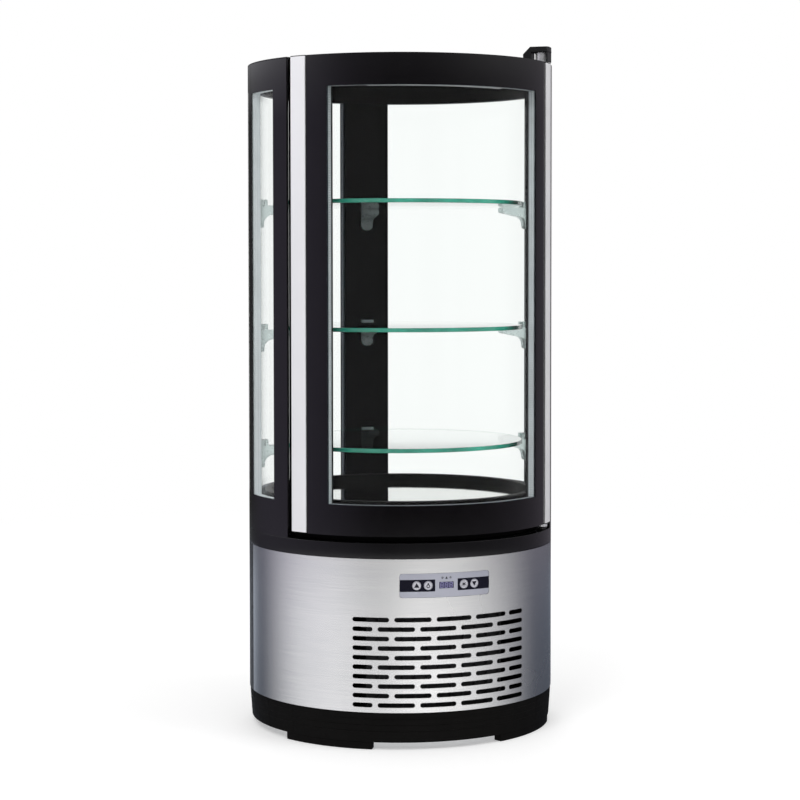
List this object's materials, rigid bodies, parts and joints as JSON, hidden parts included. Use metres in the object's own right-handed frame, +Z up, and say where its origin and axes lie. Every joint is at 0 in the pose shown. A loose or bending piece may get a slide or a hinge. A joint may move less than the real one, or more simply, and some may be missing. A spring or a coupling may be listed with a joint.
{
  "type": "refrigerated display case",
  "caption": "Round countertop refrigerated display case with a curved double-glazed hinged door, round glass shelves and a vented stainless machine base.",
  "frame": {"origin": "on the case's vertical axis, at the level the feet stand on", "axes": "+Z up, -Y out through the middle of the door and the control panel, +X to the right of someone facing the door"},
  "size_m": [0.45, 0.45, 0.9928],
  "materials": {
    "stainless": "brushed stainless sheet",
    "mirror_steel": "mirror polished stainless sheet",
    "zinc": "galvanised sheet",
    "aluminium": "satin anodised",
    "fin_aluminium": "plain fin stock",
    "chrome": "bright plated",
    "copper": "bare copper tube",
    "black_gloss": "gloss black",
    "black_paint": "satin black paint",
    "black_plastic": "fine grained black moulding",
    "foam_moulding": "black skin over insulating foam",
    "black_rubber": "soft black seal",
    "silver_film": "printed silver film",
    "silver_plastic": "silver button cap",
    "display": "dark display lens",
    "clear_glass": "clear toughened glass",
    "green_glass": "polished green-edged glass",
    "frosted_plastic": "frosted translucent plastic",
    "lamp_cover": "frosted lamp cover"
  },
  "bodies": {
    "cabinet": {"plinth_ring": "black_plastic", "base_pan": "zinc", "front_wrap": "stainless", "rear_cover": "black_paint", "collar_ring": "black_gloss", "condenser_coil": "fin_aluminium", "condenser_shroud": "black_plastic", "compressor": "black_paint", "refrigerant_line": "copper", "power_inlet": "black_plastic", "evaporator_coil": "fin_aluminium", "evaporator_fan_frame": "black_plastic", "floor_base": "foam_moulding", "floor_plate": "mirror_steel", "post_left": "black_gloss", "post_right": "black_gloss", "jamb_left": "black_plastic", "jamb_right": "black_plastic", "rear_column": "black_gloss", "side_outer_pane_left": "clear_glass", "side_outer_pane_right": "clear_glass", "side_inner_pane_left": "clear_glass", "side_inner_pane_right": "clear_glass", "rear_outer_pane_left": "clear_glass", "rear_outer_pane_right": "clear_glass", "rear_inner_pane_left": "clear_glass", "rear_inner_pane_right": "clear_glass", "top_cover": "foam_moulding", "ceiling_panel": "black_gloss", "led_lamp": "lamp_cover", "hinge_bracket_top": "black_paint", "hinge_bracket_bottom": "black_paint", "hinge_pin_top": "chrome", "hinge_pin_bottom": "chrome", "control_fascia": "silver_film", "display_window": "display", "shelf_1": "green_glass", "shelf_2": "green_glass", "shelf_3": "green_glass", "shelf_1_bracket_left": "frosted_plastic", "shelf_1_bracket_right": "frosted_plastic", "shelf_1_bracket_rear": "frosted_plastic", "shelf_2_bracket_left": "frosted_plastic", "shelf_2_bracket_right": "frosted_plastic", "shelf_2_bracket_rear": "frosted_plastic", "shelf_3_bracket_left": "frosted_plastic", "shelf_3_bracket_right": "frosted_plastic", "shelf_3_bracket_rear": "frosted_plastic"},
    "door": {"door_outer_pane": "clear_glass", "door_inner_pane": "clear_glass", "door_spacer": "aluminium", "door_gasket": "black_rubber", "handle_profile": "aluminium", "hinge_profile": "aluminium"},
    "up_key": {"button_up": "silver_plastic"},
    "lamp_key": {"button_lamp": "silver_plastic"},
    "defrost_key": {"button_defrost": "silver_plastic"},
    "down_key": {"button_down": "silver_plastic"},
    "condenser_rotor": {"condenser_fan": "black_plastic"},
    "evaporator_rotor": {"evaporator_fan": "black_plastic"}
  },
  "joints": [
    {"name": "door_hinge", "type": "hinge", "parent": "cabinet", "child": "door", "pos_m": [0.18031, -0.1171, 0.2993], "axis": [0, 0, 1], "range_deg": [0, 105]},
    {"name": "up_press", "type": "slide", "parent": "cabinet", "child": "up_key", "axis": [0.1882, 0.9821, 0], "range_m": [0, 0.001], "stiffness_N_per_m": 400},
    {"name": "lamp_press", "type": "slide", "parent": "cabinet", "child": "lamp_key", "axis": [0.1166, 0.9932, 0], "range_m": [0, 0.001], "stiffness_N_per_m": 400},
    {"name": "defrost_press", "type": "slide", "parent": "cabinet", "child": "defrost_key", "axis": [-0.1166, 0.9932, 0], "range_m": [0, 0.001], "stiffness_N_per_m": 400},
    {"name": "down_press", "type": "slide", "parent": "cabinet", "child": "down_key", "axis": [-0.1882, 0.9821, 0], "range_m": [0, 0.001], "stiffness_N_per_m": 400},
    {"name": "condenser_fan_spin", "type": "hinge", "parent": "cabinet", "child": "condenser_rotor", "pos_m": [0, -0.1327, 0.1083], "axis": [0, 1, 0], "continuous": true},
    {"name": "evaporator_fan_spin", "type": "hinge", "parent": "cabinet", "child": "evaporator_rotor", "pos_m": [0, -0.0618, 0.2683], "axis": [0, 0, 1], "continuous": true}
  ]
}
